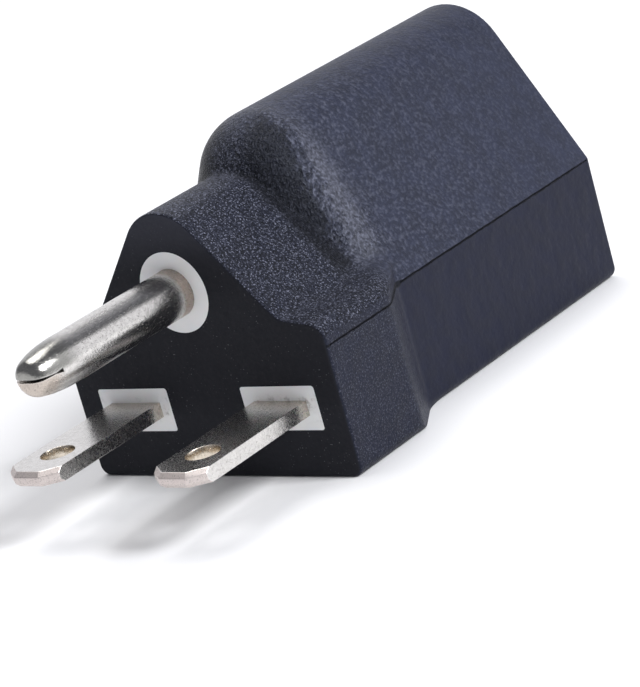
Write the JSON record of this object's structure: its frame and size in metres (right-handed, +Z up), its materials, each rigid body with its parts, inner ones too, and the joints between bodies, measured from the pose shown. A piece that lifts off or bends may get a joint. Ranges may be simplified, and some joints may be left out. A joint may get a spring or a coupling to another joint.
{
  "type": "plug adapter",
  "caption": "Grounded plug adapter: flat blades in line below a round ground pin at one end, a receptacle with upright slots and a ground hole at the other, in one moulded body.",
  "frame": {"origin": "on the flat bottom, under the middle of the whole length from the ground pin's tip to the socket face", "axes": "+Z up from the bottom, +Y from the plug face to the socket face, so the blades and the pin point along -Y, +X to the right for someone looking along +Y"},
  "size_m": [0.033, 0.0724, 0.0311],
  "materials": {
    "soft_black": "fine grained, matte",
    "hard_black": "satin",
    "white": "satin",
    "nickel_plating": "plated, finely rubbed",
    "brass": "as rolled"
  },
  "bodies": {
    "root": {"outer_body": "soft_black", "plug_core": "white", "blade_right": "nickel_plating", "blade_left": "nickel_plating", "ground_pin": "nickel_plating", "socket_core": "hard_black", "socket_core_cover": "hard_black", "contact_short_slot": "brass", "contact_long_slot": "brass", "contact_ground": "brass", "rivet_right": "brass", "rivet_left": "brass", "rivet_ground": "brass"}
  },
  "joints": []
}
